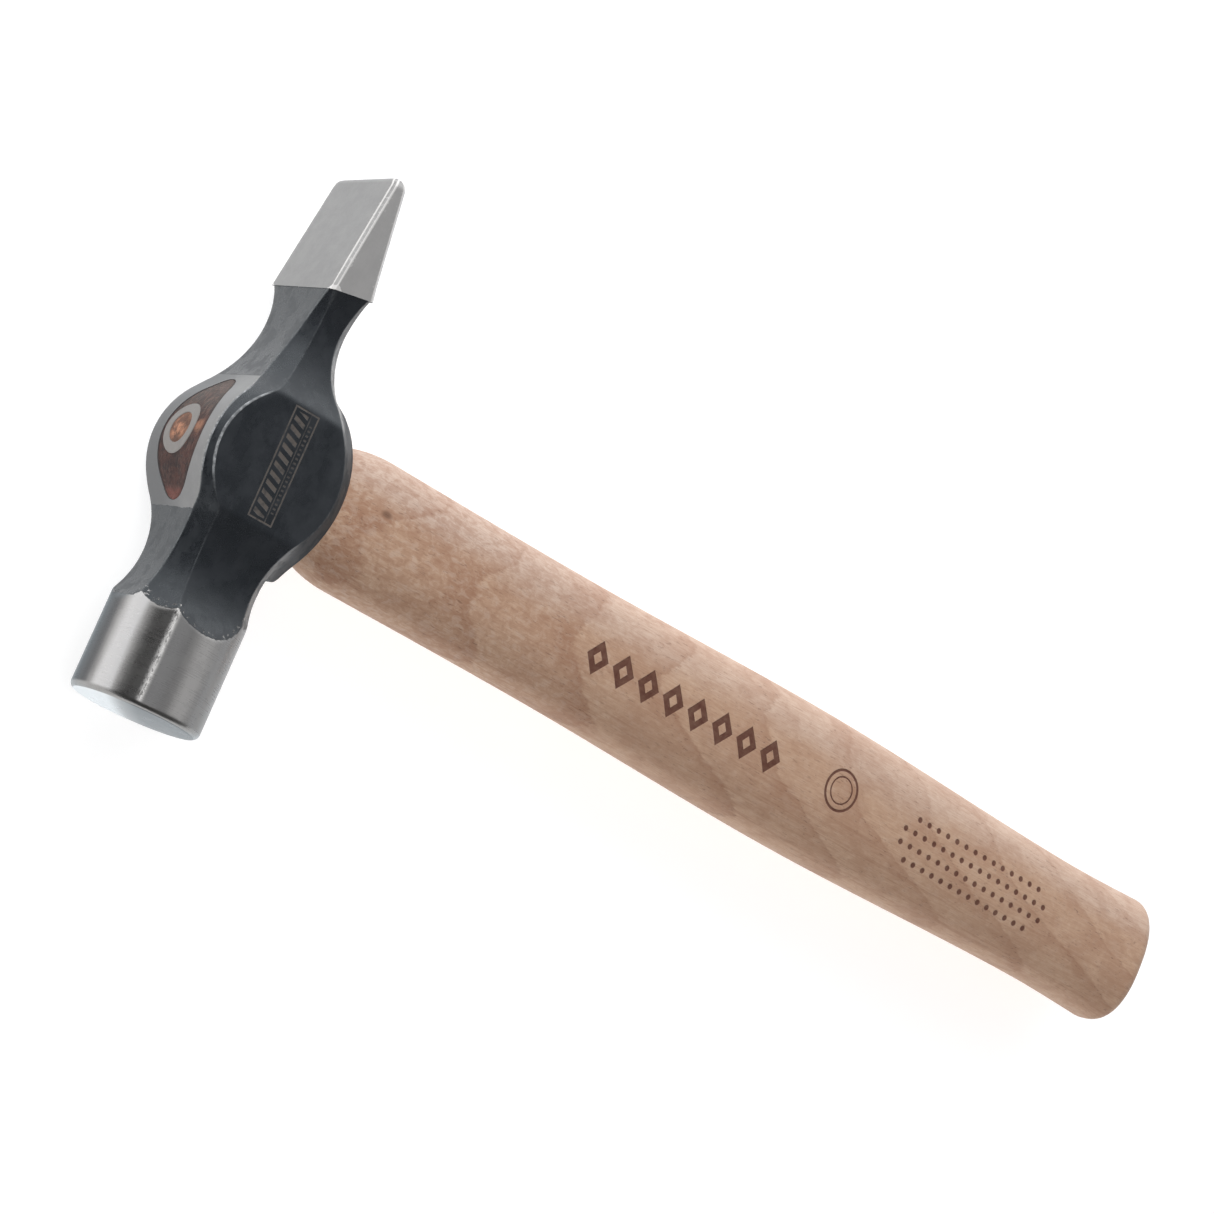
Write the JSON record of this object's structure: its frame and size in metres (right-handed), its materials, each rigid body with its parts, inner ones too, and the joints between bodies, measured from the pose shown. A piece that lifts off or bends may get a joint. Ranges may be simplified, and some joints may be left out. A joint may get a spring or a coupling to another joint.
{
  "type": "cross peen hammer",
  "caption": "Light cross peen hammer: round striking face, octagonal waisted neck, flat cheeks, wedge-shaped pein across the handle, and an oval wooden handle wedged in the eye.",
  "frame": {"origin": "the centre of the eye, where the handle's axis crosses the head's axis", "axes": "+X runs down the handle from the eye to the butt, +Y along the head from the eye to the pein, +Z is square to both, out of one cheek"},
  "size_m": [0.2705, 0.1133, 0.026],
  "materials": {
    "forged_head": "satin slate-blue lacquer, with the poll, the pein and the crown around the eye ground bright",
    "handle_wood": "smooth lacquered hickory with burnt marks",
    "wedge_wood": "end grain, stained by oil",
    "wedge_steel": "ground flush, dull"
  },
  "bodies": {
    "root": {"hammer_head": "forged_head", "handle": "handle_wood", "wooden_wedge": "wedge_wood", "ring_wedge": "wedge_steel"}
  },
  "joints": []
}
